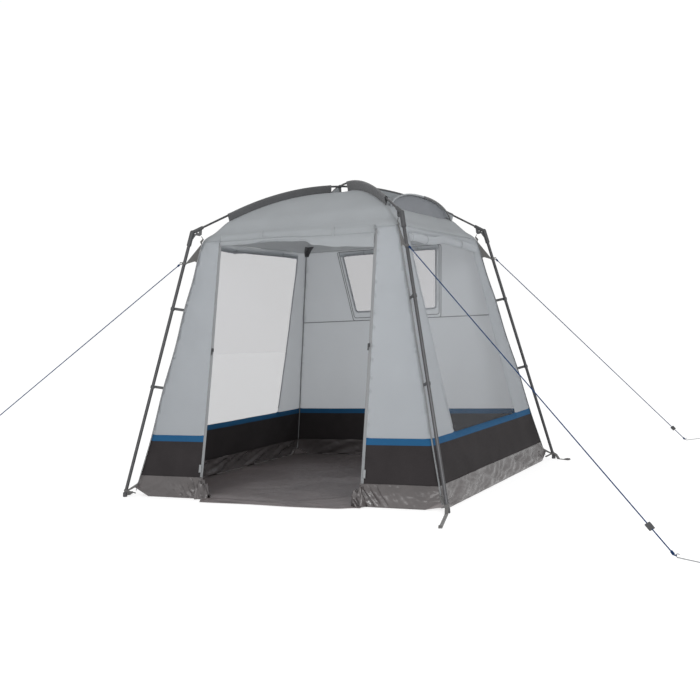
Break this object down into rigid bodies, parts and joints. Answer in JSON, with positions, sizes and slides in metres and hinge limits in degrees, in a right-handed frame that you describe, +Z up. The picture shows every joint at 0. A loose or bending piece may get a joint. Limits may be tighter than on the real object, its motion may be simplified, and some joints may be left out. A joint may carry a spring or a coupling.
{
  "type": "screen house",
  "caption": "Square stand-up camping shelter: fabric body with mesh windows, rolled-up door and sewn-in groundsheet, hung in an outside frame of leaning legs and crossed roof poles.",
  "frame": {"origin": "on the ground under the crossing of the roof poles, on the groundsheet's flat underside", "axes": "+Z up; -Y out through the doorway; +X towards the side wall under the vent hood"},
  "size_m": [5.0883, 4.8785, 2.1033],
  "materials": {
    "canopy": "matte",
    "mesh": "matte",
    "vent": "matte",
    "sleeve": "matte",
    "webbing": "matte",
    "groundsheet": "satin",
    "cord": "matte",
    "tube": "satin",
    "plastic": "matte",
    "peg": "satin"
  },
  "bodies": {
    "shelter": {"leg_front_left": "tube", "elbow_front_left": "plastic", "corner_tie_front_left": "webbing", "foot_strap_front_left": "webbing", "pole_sleeve_front_left": "sleeve", "leg_clip_upper_front_left": "plastic", "leg_clip_lower_front_left": "plastic", "leg_front_right": "tube", "elbow_front_right": "plastic", "corner_tie_front_right": "webbing", "foot_strap_front_right": "webbing", "pole_sleeve_front_right": "sleeve", "leg_clip_upper_front_right": "plastic", "leg_clip_lower_front_right": "plastic", "leg_back_right": "tube", "elbow_back_right": "plastic", "corner_tie_back_right": "webbing", "foot_strap_back_right": "webbing", "pole_sleeve_back_right": "sleeve", "leg_clip_upper_back_right": "plastic", "leg_clip_lower_back_right": "plastic", "leg_back_left": "tube", "elbow_back_left": "plastic", "corner_tie_back_left": "webbing", "foot_strap_back_left": "webbing", "pole_sleeve_back_left": "sleeve", "leg_clip_upper_back_left": "plastic", "leg_clip_lower_back_left": "plastic", "roof_pole_upper": "tube", "roof_pole_lower": "tube", "apex_hook": "plastic", "roof": "canopy", "vent_hood": "canopy", "vent_mesh": "vent", "wall_front_left": "canopy", "wall_front_right": "canopy", "wall_front_header": "canopy", "door_roll": "canopy", "wall_right": "canopy", "window_mesh_right": "mesh", "wall_back": "canopy", "window_mesh_back": "mesh", "wall_left": "canopy", "window_mesh_left": "mesh", "groundsheet": "groundsheet", "guy_line_front_left": "cord", "peg_front_left": "peg", "guy_line_front_right": "cord", "peg_front_right": "peg", "guy_line_back_right": "cord", "peg_back_right": "peg", "guy_line_back_left": "cord", "peg_back_left": "peg"},
    "zip_slider_left": {"zip_slider_left": "plastic"},
    "zip_slider_right": {"zip_slider_right": "plastic"},
    "guy_runner_front_left": {"guy_runner_front_left": "plastic"},
    "guy_runner_front_right": {"guy_runner_front_right": "plastic"},
    "guy_runner_back_right": {"guy_runner_back_right": "plastic"},
    "guy_runner_back_left": {"guy_runner_back_left": "plastic"}
  },
  "joints": [
    {"name": "zip_slide_left", "type": "slide", "parent": "shelter", "child": "zip_slider_left", "axis": [0, 0.2149, 0.9766], "range_m": [-0.8, 0.58]},
    {"name": "zip_slide_right", "type": "slide", "parent": "shelter", "child": "zip_slider_right", "axis": [0, 0.2149, 0.9766], "range_m": [-0.8, 0.58]},
    {"name": "guy_adjust_front_left", "type": "slide", "parent": "shelter", "child": "guy_runner_front_left", "axis": [-0.5904, -0.5132, -0.623], "range_m": [-1.9, 0.08]},
    {"name": "guy_adjust_front_right", "type": "slide", "parent": "shelter", "child": "guy_runner_front_right", "axis": [0.6634, -0.4145, -0.623], "range_m": [-1.9, 0.08]},
    {"name": "guy_adjust_back_right", "type": "slide", "parent": "shelter", "child": "guy_runner_back_right", "axis": [0.4487, 0.6408, -0.623], "range_m": [-1.9, 0.08]},
    {"name": "guy_adjust_back_left", "type": "slide", "parent": "shelter", "child": "guy_runner_back_left", "axis": [-0.4145, 0.6634, -0.623], "range_m": [-1.9, 0.08]}
  ]
}
